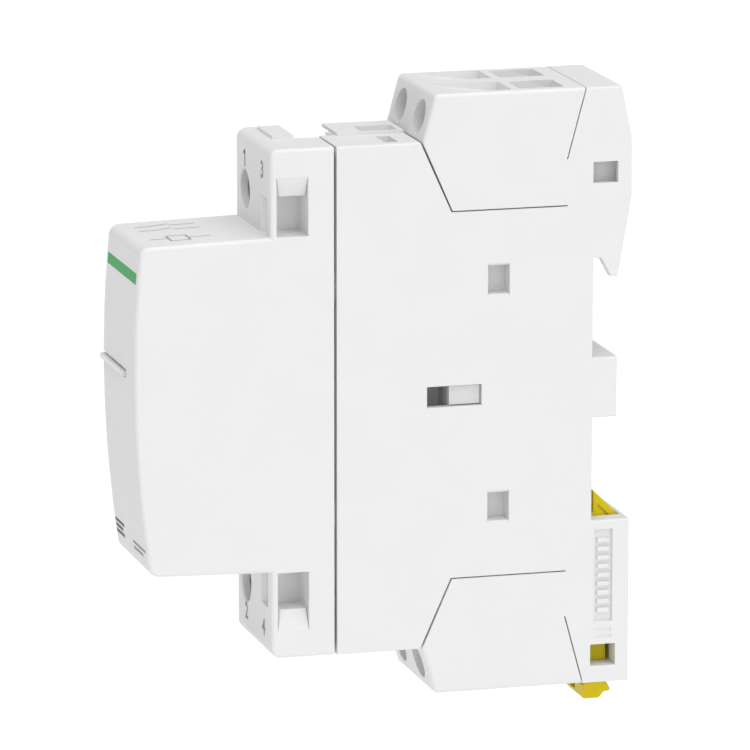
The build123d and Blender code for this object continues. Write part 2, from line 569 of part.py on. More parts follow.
def main():
    write(front_cover(), "front_cover")
    write(rear_housing(), "rear_housing")
    shroud = terminal_shroud()
    write(shroud, "upper_terminal_shroud")
    write(flip(shroud), "lower_terminal_shroud")
    write(rail_clip(), "rail_clip")
    for make in (fixed_core, core_rivets, shading_rings, coil_bobbin, coil_winding, coil_tape,
                 core_buffer, armature, armature_pin, contact_carrier, position_flag):
        write(make(), make.__name__)
    for side, x in (("left", -POLE_X), ("right", POLE_X)):
        write(bridge(x), f"bridge_{side}")
        write(tips(x, BRIDGE_FRONT_Y - 0.8, BRIDGE_FRONT_Y, 1.4), f"bridge_tips_{side}")
        start = BRIDGE_FRONT_Y + BRIDGE_T + 0.05
        coil = spring(1.35, 0.35, WINDOW_BACK_Y - 0.05 - start, 5)
        write(laid(coil, x, start, 0), f"contact_spring_{side}")
    tip_front = FIXED_PLATE_Y + STRIP_T / 2
    tip_back = BRIDGE_FRONT_Y - 0.8 - CARRIER_TRAVEL + OVERTRAVEL - 0.03
    all_tips = []
    for number, (x, upper) in enumerate(((-POLE_X, 1), (-POLE_X, 0), (POLE_X, 1), (POLE_X, 0)), 1):
        turn = (lambda shape: shape) if upper else flip
        write(turn(fixed_contact(x)), f"fixed_contact_{number}")
        write(turn(terminal_cage(x)), f"terminal_cage_{number}")
        write(turn(terminal_screw(x)), f"terminal_screw_{number}")
        all_tips.append(turn(rod((x, tip_front, TIP_Z), (0, 1, 0), 1.5, tip_back - tip_front)))
    write(Compound(children=all_tips), "fixed_contact_tips")
    for name, turn in (("a1", lambda shape: shape), ("a2", flip)):
        write(turn(coil_cage()), f"coil_cage_{name}")
        write(turn(coil_screw()), f"coil_screw_{name}")
        write(turn(coil_strip()), f"coil_strip_{name}")
    for name, z in (("upper", SPRING_Z), ("lower", -SPRING_Z)):
        coil = spring(1.4, 0.35, BAR_Y0 - FLANGE_Y1 - 0.1, 6)
        write(laid(coil, CORE_X, FLANGE_Y1 + 0.05, z), f"return_spring_{name}")


main()
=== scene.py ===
"""Looks of a one-module DIN rail contactor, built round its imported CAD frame."""
import json
from math import cos, pi, radians, sin

import bmesh
import bpy
from mathutils import Matrix, Vector


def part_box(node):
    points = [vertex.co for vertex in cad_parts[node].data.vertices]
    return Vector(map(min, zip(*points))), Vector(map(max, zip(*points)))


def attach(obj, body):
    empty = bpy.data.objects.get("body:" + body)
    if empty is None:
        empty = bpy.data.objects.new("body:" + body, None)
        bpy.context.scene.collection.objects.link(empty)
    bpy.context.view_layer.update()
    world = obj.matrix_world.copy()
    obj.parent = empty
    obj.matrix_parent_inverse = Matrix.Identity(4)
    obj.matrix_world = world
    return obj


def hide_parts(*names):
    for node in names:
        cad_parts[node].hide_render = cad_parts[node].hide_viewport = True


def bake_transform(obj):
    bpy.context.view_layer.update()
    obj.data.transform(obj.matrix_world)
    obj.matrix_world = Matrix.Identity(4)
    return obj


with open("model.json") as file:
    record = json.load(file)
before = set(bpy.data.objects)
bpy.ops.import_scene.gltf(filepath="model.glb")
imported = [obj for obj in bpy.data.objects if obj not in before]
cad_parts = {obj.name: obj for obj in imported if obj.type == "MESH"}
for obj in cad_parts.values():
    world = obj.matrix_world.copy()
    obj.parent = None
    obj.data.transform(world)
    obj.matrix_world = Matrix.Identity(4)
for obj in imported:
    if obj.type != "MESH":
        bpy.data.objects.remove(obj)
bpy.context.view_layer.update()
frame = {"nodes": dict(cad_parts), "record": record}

bl_info = {
    "name": "DIN rail contactor",
    "version": (1, 0, 0),
    "blender": (4, 5, 0),
    "location": "3D View > Sidebar > Contactor",
    "description": "Builds the looks of a modular contactor round its frame",
    "category": "Object",
}

MM = 0.001
FRONT_Y = -62.5 * MM          # just ahead of the nose, where flat prints start
SHOULDER_Y = -44.25 * MM      # just ahead of the shoulders
NOSE_TOP_Z = 22.6 * MM        # just above the nose
SYMBOL_LINE = 0.25 * MM
NUMERAL_SIZE = 3.1 * MM
NUMERAL_BOLD = 0.1 * MM
POLE_CLEARANCE = 0.03 * MM    # the armature's pole faces stop this far short of the core's


# ---------------------------------------------------------------- settings
class CONTACTOR_PG_colours(bpy.types.PropertyGroup):
    """Colours of the mouldings, the prints and the painted groove shade of the terminal numbers, as sRGB hex.
    """
    housing: bpy.props.StringProperty(
        name="Housing", description="Moulded polyamide of the housing", default="e2e2e2")
    clip: bpy.props.StringProperty(
        name="Rail clip", description="Moulded acetal of the sliding clip", default="d6c004")
    carrier: bpy.props.StringProperty(
        name="Carrier", description="Moulded thermoset of the contact carrier", default="d6d6d5")
    flag: bpy.props.StringProperty(
        name="Position flag", description="Moulded indicator bar", default="e4e4e2")
    accent_ink: bpy.props.StringProperty(
        name="Accent print", description="Coloured pad print on the nose", default="44a860")
    dark_ink: bpy.props.StringProperty(
        name="Dark print", description="Dark pad print on the nose", default="5a5c5c")
    # Pale grey for the laser-marked bars and symbol, also used as painted shade for the grooves of the debossed
    # terminal numbers
    pale_print_and_groove_shade: bpy.props.StringProperty(
        name="Pale print and groove shade", description="Pale laser marking and painted groove shade", default="8e8e8d")


class CONTACTOR_PG_sizes(bpy.types.PropertyGroup):
    """Sizes of the modelled details."""
    grain: bpy.props.FloatProperty(
        name="Mould grain", description="Size of the eroded grain on the mouldings",
        default=0.35 * MM, min=0.05 * MM, max=1.0 * MM, unit="LENGTH")


class CONTACTOR_PG_springs(bpy.types.PropertyGroup):
    """Wire and turns of the helical springs."""
    wire: bpy.props.FloatProperty(
        name="Wire", description="Diameter of the spring wire", default=0.35 * MM, min=0.1 * MM, unit="LENGTH")
    return_radius: bpy.props.FloatProperty(
        name="Return spring", description="Mean radius of the return springs", default=1.4 * MM, unit="LENGTH")
    return_turns: bpy.props.IntProperty(
        name="Return turns", description="Working turns of a return spring", default=6, min=2)
    contact_radius: bpy.props.FloatProperty(
        name="Contact spring", description="Mean radius of the contact springs",
        default=1.35 * MM, unit="LENGTH")
    contact_turns: bpy.props.IntProperty(
        name="Contact turns", description="Working turns of a contact spring", default=5, min=2)


class CONTACTOR_PG_screws(bpy.types.PropertyGroup):
    """Thread and slots of the terminal screws."""
    pitch: bpy.props.FloatProperty(
        name="Pitch", description="Thread pitch of the power terminal screws", default=0.6 * MM, unit="LENGTH")
    coil_pitch: bpy.props.FloatProperty(
        name="Coil pitch", description="Thread pitch of the coil terminal screws",
        default=0.5 * MM, unit="LENGTH")
    slot: bpy.props.FloatProperty(
        name="Slot", description="Width of the driver slot", default=0.8 * MM, unit="LENGTH")


class CONTACTOR_PG_magnet(bpy.types.PropertyGroup):
    """Sheets of the laminated core and armature."""
    sheets: bpy.props.IntProperty(
        name="Sheets", description="Sheets in the stack", default=16, min=4, max=40)
    gap: bpy.props.FloatProperty(
        name="Gap", description="Gap that shows between two sheets", default=0.03 * MM, unit="LENGTH")


# ---------------------------------------------------------------- small helpers
def srgb(code):
    """Hex sRGB colour as linear red, green, blue and alpha."""
    channels = []
    for start in (0, 2, 4):
        value = int(code[start:start + 2], 16) / 255
        channels.append(value / 12.92 if value <= 0.04045 else ((value + 0.055) / 1.055) ** 2.4)
    return (*channels, 1.0)


def node(tree, kind, inputs=None, links=None, **settings):
    """Add a node, with its settings, its socket values and its links."""
    made = tree.nodes.new(kind)
    for key, value in settings.items():
        setattr(made, key, value)
    for socket, value in (inputs or {}).items():
        made.inputs[socket].default_value = value
    for socket, source in (links or {}).items():
        tree.links.new(source, made.inputs[socket])
    return made


def start_material(name, colour, **inputs):
    """New material with a Principled shader; returns material, tree, shader and Object coordinates."""
    material = bpy.data.materials.new(name)
    material.use_nodes = True
    tree = material.node_tree
    tree.nodes.clear()
    values = {"Base Color": srgb(colour)}
    values.update({key.replace("_", " "): value for key, value in inputs.items()})
    shader = node(tree, "ShaderNodeBsdfPrincipled", values)
    node(tree, "ShaderNodeOutputMaterial", links={"Surface": shader.outputs["BSDF"]})
    place = node(tree, "ShaderNodeTexCoord").outputs["Object"]
    return material, tree, shader, place


def settings():
    """The colours and sizes that the user has set."""
    scene = bpy.context.scene
    return scene.contactor_colours, scene.contactor_sizes


def clear():
    """Leave edit mode with nothing selected."""
    if bpy.context.mode != "OBJECT":
        bpy.ops.object.mode_set(mode="OBJECT")
    bpy.ops.object.select_all(action="DESELECT")


def pick(piece, kind, test):
    """In edit mode, select only the elements of a piece that pass a test."""
    bpy.ops.mesh.select_mode(type=kind)
    bpy.ops.mesh.select_all(action="DESELECT")
    mesh = bmesh.from_edit_mesh(piece.data)
    for item in {"VERT": mesh.verts, "EDGE": mesh.edges, "FACE": mesh.faces}[kind]:
        if test(item):
            item.select_set(True)
    mesh.select_flush_mode()
    bmesh.update_edit_mesh(piece.data)


def apply_modifier(piece, kind, **values):
    """Add a modifier with its settings and apply it."""
    modifier = piece.modifiers.new(kind.title(), kind)
    for key, value in values.items():
        setattr(modifier, key, value)
    clear()
    piece.select_set(True)
    bpy.context.view_layer.objects.active = piece
    bpy.ops.object.modifier_apply(modifier=modifier.name)


def carve(piece, cutter):
    """Cut one solid out of another and remove the cutter."""
    apply_modifier(piece, "BOOLEAN", operation="DIFFERENCE", solver="EXACT", object=cutter)
    bpy.data.objects.remove(cutter, do_unlink=True)


def box_tool(size, place, bevel=0.0):
    """A box of a size at a place, with its edges bevelled if asked."""
    clear()
    bpy.ops.mesh.primitive_cube_add(size=1, location=place)
    tool = bpy.context.active_object
    tool.scale = size
    bpy.ops.object.transform_apply(location=True, rotation=True, scale=True)
    if bevel:
        bpy.ops.object.mode_set(mode="EDIT")
        bpy.ops.mesh.select_all(action="SELECT")
        bpy.ops.mesh.bevel(offset=bevel, segments=2, affect="EDGES")
        bpy.ops.object.mode_set(mode="OBJECT")
    return tool


def join(pieces):
    """One object from several."""
    clear()
    for piece in pieces:
        piece.select_set(True)
    bpy.context.view_layer.objects.active = pieces[0]
    if len(pieces) > 1:
        bpy.ops.object.join()
    return bpy.context.view_layer.objects.active


def copy_of(piece):
    """A copy with its own mesh."""
    twin = piece.copy()
    twin.data = piece.data.copy()
    bpy.context.scene.collection.objects.link(twin)
    return twin


def settle(piece, name, slot, place=None, smooth=30):
    """Name a piece, move it to its place, shade it and give it the finish of its slot."""
    clear()
    piece.name = name
    piece.data.name = name
    if place is not None:
        piece.matrix_world = place
    piece.select_set(True)
    bpy.context.view_layer.objects.active = piece
    bpy.ops.object.transform_apply(location=True, rotation=True, scale=True)
    bpy.ops.object.shade_smooth_by_angle(angle=radians(smooth))
    piece.data.materials.clear()
    piece.data.materials.append(finish_of(slot))
    return piece


def finish_of(slot):
    """The material made for a slot of the record."""
    for material in bpy.data.materials:
        if material.get("slot") == slot:
            return material
    raise RuntimeError(f"no material for the slot {slot}; run Materials first")


def close_holes(piece):
    """Fill open rims, merge doubles and turn the faces outwards."""
    clear()
    bpy.context.view_layer.objects.active = piece
    bpy.ops.object.mode_set(mode="EDIT")
    bpy.ops.mesh.select_all(action="SELECT")
    bpy.ops.mesh.remove_doubles(threshold=0.0005 * MM)
    pick(piece, "EDGE", lambda edge: edge.is_boundary)
    bpy.ops.mesh.edge_face_add()
    bpy.ops.mesh.select_all(action="SELECT")
    bpy.ops.mesh.normals_make_consistent(inside=False)
    bpy.ops.object.mode_set(mode="OBJECT")


# ---------------------------------------------------------------- materials
def moulded_plastic(name, colour, shade, roughness=0.5, grain=None, depth=0.004 * MM, specular=0.5):
    """Injection moulding from an eroded tool: even colour, soft sheen and a very fine grain."""
    grain = grain or settings()[1].grain
    material, tree, shader, place = start_material(name, colour, Roughness=roughness, IOR=1.53)
    shader.inputs["Specular IOR Level"].default_value = specular
    flow = node(tree, "ShaderNodeTexNoise", {"Scale": 1 / (9 * MM), "Detail": 2.0}, {"Vector": place})
    tint = node(tree, "ShaderNodeMix", {6: srgb(colour), 7: srgb(shade)}, {0: flow.outputs["Fac"]},
                data_type="RGBA")
    tree.links.new(tint.outputs[2], shader.inputs["Base Color"])
    fine = node(tree, "ShaderNodeTexNoise", {"Scale": 1 / grain, "Detail": 3.0, "Roughness": 0.6},
                {"Vector": place})
    bump = node(tree, "ShaderNodeBump", {"Strength": 0.35, "Distance": depth}, {"Height": fine.outputs["Fac"]})
    tree.links.new(bump.outputs["Normal"], shader.inputs["Normal"])
    gloss = node(tree, "ShaderNodeMapRange",
                 {"To Min": roughness - 0.06, "To Max": roughness + 0.06}, {"Value": fine.outputs["Fac"]})
    tree.links.new(gloss.outputs["Result"], shader.inputs["Roughness"])
    return material


def worked_metal(name, colour, roughness, stretch, size, depth, metallic=1.0):
    """Metal with a directional surface: rolled, drawn or ground marks along one axis."""
    material, tree, shader, place = start_material(name, colour, Roughness=roughness, Metallic=metallic)
    along = node(tree, "ShaderNodeMapping", {"Scale": stretch}, {"Vector": place})
    marks = node(tree, "ShaderNodeTexNoise", {"Scale": 1 / size, "Detail": 4.0, "Roughness": 0.65},
                 {"Vector": along.outputs["Vector"]})
    bump = node(tree, "ShaderNodeBump", {"Strength": 0.5, "Distance": depth}, {"Height": marks.outputs["Fac"]})
    tree.links.new(bump.outputs["Normal"], shader.inputs["Normal"])
    gloss = node(tree, "ShaderNodeMapRange", {"To Min": roughness - 0.08, "To Max": roughness + 0.12},
                 {"Value": marks.outputs["Fac"]})
    tree.links.new(gloss.outputs["Result"], shader.inputs["Roughness"])
    return material


def make_materials():
    """One material for each slot of the record."""
    colours = settings()[0]
    made = {
        "housing_plastic": moulded_plastic("Polyamide, housing", colours.housing, "dedede", 0.48),
        "shroud_plastic": moulded_plastic("Polyamide, shrouds", colours.housing, "dedede", 0.48),
        "clip_plastic": moulded_plastic("Acetal, yellow", colours.clip, "cdb702", 0.42, depth=0.002 * MM,
                                        specular=0.22),
        "carrier_plastic": moulded_plastic("Thermoset, carrier", colours.carrier, "d0d0cf", 0.55),
        "flag_plastic": moulded_plastic("Polycarbonate, flag", colours.flag, "dfdfdc", 0.35, depth=0.001 * MM),
        "bobbin_plastic": moulded_plastic("Polyester, glass filled", "232325", "2b2b2e", 0.55),
        "tape": moulded_plastic("Polyester tape", "d9a63a", "c98f2a", 0.25, depth=0.002 * MM),
        "rubber": moulded_plastic("Rubber, moulded", "1b1b1b", "222222", 0.8),
        "winding": worked_metal("Enamelled copper wire", "b5602c", 0.28, (1, 1, 1), 0.4 * MM, 0.01 * MM, 0.85),
        "magnet_steel": worked_metal("Silicon steel, punched", "8e8f92", 0.42, (1, 1, 6), 0.3 * MM, 0.004 * MM),
        "rivet_steel": worked_metal("Steel, headed", "9c9da0", 0.35, (1, 1, 1), 0.3 * MM, 0.004 * MM),
        "copper": worked_metal("Copper, drawn", "c97f5c", 0.3, (1, 1, 1), 0.3 * MM, 0.003 * MM),
        "brass": worked_metal("Brass, rolled", "d2b063", 0.3, (1, 1, 5), 0.3 * MM, 0.003 * MM),
        "silver": worked_metal("Silver alloy, coined", "dcdcd8", 0.25, (1, 1, 1), 0.25 * MM, 0.003 * MM),
        "plated_steel": worked_metal("Steel, zinc plated", "b9bab8", 0.32, (1, 1, 1), 0.3 * MM, 0.004 * MM),
        "spring_steel": worked_metal("Spring steel, drawn", "97989b", 0.25, (1, 1, 1), 0.2 * MM, 0.002 * MM),
    }
    return made


class CONTACTOR_OT_materials(bpy.types.Operator):
    """Give every node of the frame its finished material."""
    bl_idname = "contactor.materials"
    bl_label = "Materials"

    def execute(self, context):
        made = make_materials()
        for slot, material in made.items():
            material["slot"] = slot
        for part in frame["record"]["subparts"]:
            item = frame["nodes"][part["node"]]
            item.data.materials.clear()
            item.data.materials.append(made[part["material_slot"]])
        return {"FINISHED"}


# ---------------------------------------------------------------- springs
def coil_spring(radius, wire, length, turns):
    """Spring along +Z from the origin: drawn wire, wound, with a closed turn at each end."""
    clear()
    bpy.ops.mesh.primitive_circle_add(vertices=10, radius=wire / 2, location=(radius, 0, wire / 2),
                                      rotation=(pi / 2, 0, 0))
    piece = bpy.context.active_object
    bpy.ops.object.transform_apply(location=True, rotation=True, scale=True)
    rise = length - wire
    apply_modifier(piece, "SCREW", axis="Z", angle=2 * pi * turns, screw_offset=rise, iterations=1,
                   steps=28 * turns, render_steps=28 * turns, use_merge_vertices=False)
    closed = 2 * pi * (1 - wire * 1.1 * turns / rise)
    bpy.ops.object.mode_set(mode="EDIT")
    for level, turn in ((wire / 2, -closed), (wire / 2 + rise, closed)):
        pick(piece, "EDGE", lambda edge: edge.is_boundary and all(
            abs(vert.co.z - level) < wire * 0.55 for vert in edge.verts))
        bpy.ops.mesh.spin(steps=20, angle=turn, center=(0, 0, level), axis=(0, 0, 1))
    bpy.ops.object.mode_set(mode="OBJECT")
    close_holes(piece)
    return piece


class CONTACTOR_OT_springs(bpy.types.Operator):
    """Wind the return springs and the contact springs."""
    bl_idname = "contactor.springs"
    bl_label = "Springs"

    def execute(self, context):
        sizes = context.scene.contactor_springs
        for node_name, radius, turns, low_body, high_body in (
                ("return_spring_upper", sizes.return_radius, sizes.return_turns, "housing", "carrier"),
                ("return_spring_lower", sizes.return_radius, sizes.return_turns, "housing", "carrier"),
                ("contact_spring_left", sizes.contact_radius, sizes.contact_turns, "left_bridge", "carrier"),
                ("contact_spring_right", sizes.contact_radius, sizes.contact_turns, "right_bridge", "carrier")):
            low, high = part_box(node_name)
            x, z = (low[0] + high[0]) / 2, (low[2] + high[2]) / 2
            piece = coil_spring(radius, sizes.wire, high[1] - low[1], turns)
            place = Matrix.Translation((x, low[1], z)) @ Matrix.Rotation(-pi / 2, 4, "X")
            settle(piece, f"wound_{node_name}", "spring_steel", place)
            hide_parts(node_name)
            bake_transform(piece)
        return {"FINISHED"}


# ---------------------------------------------------------------- screws
def thread(radius, pitch, turns, start, depth):
    """Threaded shank along +Z: one tooth swept round the axis."""
    clear()
    bpy.ops.mesh.primitive_plane_add(size=pitch, location=(radius, 0, start), rotation=(pi / 2, 0, 0))
    piece = bpy.context.active_object
    bpy.ops.object.transform_apply(location=True, rotation=True, scale=True)
    bpy.ops.object.mode_set(mode="EDIT")
    pick(piece, "VERT", lambda vert: vert.co.x > radius)
    bpy.ops.mesh.delete(type="VERT")
    bpy.ops.mesh.select_all(action="SELECT")
    bpy.ops.mesh.subdivide(number_cuts=3)
    bpy.ops.transform.translate(value=(pitch / 2 - depth, 0, 0))
    pick(piece, "VERT", lambda vert: abs(vert.co.z - start - pitch * 0.125) < pitch * 0.2)
    bpy.ops.transform.translate(value=(depth, 0, 0))
    bpy.ops.object.mode_set(mode="OBJECT")
    apply_modifier(piece, "SCREW", axis="Z", angle=2 * pi, screw_offset=pitch, iterations=turns,
                   steps=30, render_steps=30, use_merge_vertices=False)
    close_holes(piece)
    return piece


def screw_head(radius, top, height, slot, cross):
    """Cheese head with a full slot and a short crossing slot."""
    clear()
    bpy.ops.mesh.primitive_cylinder_add(vertices=64, radius=radius, depth=height,
                                        location=(0, 0, top + height / 2))
    head = bpy.context.active_object
    bpy.ops.object.transform_apply(location=True, rotation=True, scale=True)
    bpy.ops.object.mode_set(mode="EDIT")
    pick(head, "EDGE", lambda edge: abs(edge.verts[0].co.z - edge.verts[1].co.z) < height * 0.1)
    bpy.ops.mesh.bevel(offset=height * 0.13, segments=3, affect="EDGES")
    bpy.ops.object.mode_set(mode="OBJECT")
    depth = height * 0.5
    carve(head, box_tool((2 * radius * 0.84, slot, 2 * depth), (0, 0, top)))
    carve(head, box_tool((slot, cross, 2 * depth), (0, 0, top)))
    return head


def terminal_frame(x, y, z, tilt):
    """Frame whose Z runs inwards along a terminal's screw; a negative z is a lower terminal."""
    side = 1 if z > 0 else -1
    inwards = Vector((0, cos(tilt), -sin(tilt) * side))
    across = Vector((-side, 0, 0))
    upright = inwards.cross(across)
    place = Matrix((across, upright, inwards)).transposed().to_4x4()
    place.translation = (x, y, z)
    return place


class CONTACTOR_OT_screws(bpy.types.Operator):
    """Model the captive terminal screws with their threads and slots."""
    bl_idname = "contactor.screws"
    bl_label = "Terminal screws"

    def execute(self, context):
        sizes = context.scene.contactor_screws
        shank = thread(1.70 * MM, sizes.pitch, 9, 5.8 * MM, 0.33 * MM)
        power = join([screw_head(2.75 * MM, 3.5 * MM, 2.0 * MM, sizes.slot, 3.2 * MM),
                      shank, box_tool((1.5 * MM, 1.5 * MM, 5.6 * MM), (0, 0, 8.4 * MM), 0.1 * MM)])
        for number, (x, side) in enumerate(((-4.5, 1), (-4.5, -1), (4.5, 1), (4.5, -1)), 1):
            place = terminal_frame(x * MM, -22.78 * MM, 36.9 * MM * side, radians(15.6))
            piece = settle(copy_of(power), f"power_screw_head_{number}", "plated_steel", place)
            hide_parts(f"terminal_screw_{number}")
            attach(piece, f"power_screw_{number}")
        bpy.data.objects.remove(power, do_unlink=True)
        shank = thread(1.43 * MM, sizes.coil_pitch, 8, 3.1 * MM, 0.27 * MM)
        small = join([screw_head(2.4 * MM, 1.4 * MM, 1.6 * MM, sizes.slot * 0.9, 2.8 * MM),
                      shank, box_tool((1.3 * MM, 1.3 * MM, 4.0 * MM), (0, 0, 4.9 * MM), 0.1 * MM)])
        for name, side in (("a1", 1), ("a2", -1)):
            place = terminal_frame(-4.5 * MM, -44.2 * MM, 26.7 * MM * side, 0)
            piece = settle(copy_of(small), f"coil_screw_head_{name}", "plated_steel", place)
            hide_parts(f"coil_screw_{name}")
            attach(piece, f"coil_terminal_screw_{name}")
        bpy.data.objects.remove(small, do_unlink=True)
        return {"FINISHED"}


# ---------------------------------------------------------------- magnet
def grow(piece, level, reach, bands):
    """Extrude the edges at one Y level to another, where their height lies in one of the bands."""
    pick(piece, "EDGE", lambda edge: all(abs(vert.co.y - level) < 0.01 * MM for vert in edge.verts) and any(
        low < abs(edge.verts[0].co.z + edge.verts[1].co.z) / 2 < high for low, high in bands))
    bpy.ops.mesh.extrude_region_move(TRANSFORM_OT_translate={"value": (0, reach - level, 0)})


def flat_sheet(x, y0, y1, z1, cuts):
    """One punched sheet in the YZ plane, ready for its legs: a strip cut across at some heights."""
    clear()
    bpy.ops.mesh.primitive_plane_add(size=1, location=(x, (y0 + y1) / 2, 0), rotation=(0, pi / 2, 0))
    sheet = bpy.context.active_object
    sheet.scale = (2 * z1, y1 - y0, 1)
    bpy.ops.object.transform_apply(location=True, rotation=True, scale=True)
    bpy.ops.object.mode_set(mode="EDIT")
    for cut in cuts:
        for z in (cut, -cut):
            bpy.ops.mesh.select_all(action="SELECT")
            bpy.ops.mesh.bisect(plane_co=(x, y0, z), plane_no=(0, 0, 1))
    return sheet


def thicken(sheet, thickness, pitch, count):
    """Give a sheet its thickness along X and repeat it into a stack."""
    bpy.ops.mesh.select_all(action="SELECT")
    bpy.ops.mesh.remove_doubles(threshold=0.001 * MM)
    bpy.ops.mesh.extrude_region_move(TRANSFORM_OT_translate={"value": (thickness, 0, 0)})
    bpy.ops.mesh.select_all(action="SELECT")
    bpy.ops.mesh.normals_make_consistent(inside=False)
    bpy.ops.object.mode_set(mode="OBJECT")
    apply_modifier(sheet, "ARRAY", count=count, use_relative_offset=False, use_constant_offset=True,
                   constant_offset_displace=(pitch, 0, 0))
    return sheet


class CONTACTOR_OT_magnet(bpy.types.Operator):
    """Stack the punched sheets of the fixed core and of the armature."""
    bl_idname = "contactor.magnet"
    bl_label = "Magnet"

    def execute(self, context):
        sizes = context.scene.contactor_magnet
        low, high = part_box("fixed_core")
        pitch = (high[0] - low[0]) / sizes.sheets
        thickness = pitch - sizes.gap
        yoke, slot, face = -52.5 * MM, -40.8 * MM, high[1]
        core = flat_sheet(low[0], low[1], yoke, high[2], (3.5 * MM, 13.5 * MM, 15.0 * MM, 15.5 * MM))
        grow(core, yoke, slot, ((0, 3.5 * MM), (13.5 * MM, 20 * MM)))
        grow(core, slot, face, ((0, 3.5 * MM), (13.5 * MM, 15.0 * MM), (15.5 * MM, 20 * MM)))
        settle(thicken(core, thickness, pitch, sizes.sheets), "core_sheets", "magnet_steel")
        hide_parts("fixed_core")
        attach(core, "housing")
        low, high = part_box("armature")
        back = -32.5 * MM
        groups = []
        lug_low, lug_high = round(sizes.sheets * 0.3), round(sizes.sheets * 0.72)
        for first, last in ((0, lug_low), (lug_low, lug_high), (lug_high, sizes.sheets)):
            group = flat_sheet(low[0] + first * pitch, low[1] + POLE_CLEARANCE, back, high[2], (4.0 * MM,))
            if first == lug_low:
                grow(group, back, high[1], ((0, 4.0 * MM),))
            groups.append(thicken(group, thickness, pitch, last - first))
        armature = settle(join(groups), "armature_sheets", "magnet_steel")
        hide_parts("armature")
        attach(armature, "carrier")
        return {"FINISHED"}


# ---------------------------------------------------------------- marks
def stroke(start, end, width):
    """A straight line in the XY plane, as a thin strip, for the prints and for the painted groove shade of the
    numeral 1.
    """
    run = Vector(end) - Vector(start)
    clear()
    bpy.ops.mesh.primitive_plane_add(size=1)
    line = bpy.context.active_object
    line.scale = (run.length + width, width, 1)
    line.rotation_euler = (0, 0, run.to_2d().angle_signed(Vector((1, 0))))
    line.location = (*((Vector(start) + Vector(end)) / 2), 0)
    bpy.ops.object.transform_apply(location=True, rotation=True, scale=True)
    bpy.ops.object.mode_set(mode="EDIT")
    bpy.ops.mesh.select_all(action="SELECT")
    bpy.ops.mesh.subdivide(number_cuts=7)
    bpy.ops.object.mode_set(mode="OBJECT")
    return line


def lay_print_and_painted_shade(piece, name, place, ink, thick=0.012 * MM):
    """Wrap a flat mark on to the front cover and give it its ink; the marks are prints, and the terminal
    numbers are painted groove shade.
    """
    clear()
    piece.matrix_world = place
    piece.select_set(True)
    bpy.context.view_layer.objects.active = piece
    bpy.ops.object.transform_apply(location=True, rotation=True, scale=True)
    apply_modifier(piece, "SHRINKWRAP", target=frame["nodes"]["front_cover"],
                   wrap_method="NEAREST_SURFACEPOINT", wrap_mode="ABOVE_SURFACE", offset=thick)
    settle(piece, name, "housing_plastic")
    piece.data.materials.clear()
    piece.data.materials.append(ink)
    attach(piece, "housing")
    return piece


def ink_and_shade_material(name, colour):
    """Pad-printing ink: thin, matt and slightly uneven where it lies on the grain; the pale one also serves as
    painted groove shade for the terminal numbers.
    """
    material, tree, shader, place = start_material(name, colour, Roughness=0.6)
    wear = node(tree, "ShaderNodeTexNoise", {"Scale": 1 / (0.5 * MM), "Detail": 3.0}, {"Vector": place})
    tone = node(tree, "ShaderNodeMapRange", {"To Min": 0.85, "To Max": 1.08}, {"Value": wear.outputs["Fac"]})
    colour_node = node(tree, "ShaderNodeHueSaturation", {"Color": srgb(colour)},
                       {"Value": tone.outputs["Result"]})
    tree.links.new(colour_node.outputs["Color"], shader.inputs["Base Color"])
    return material


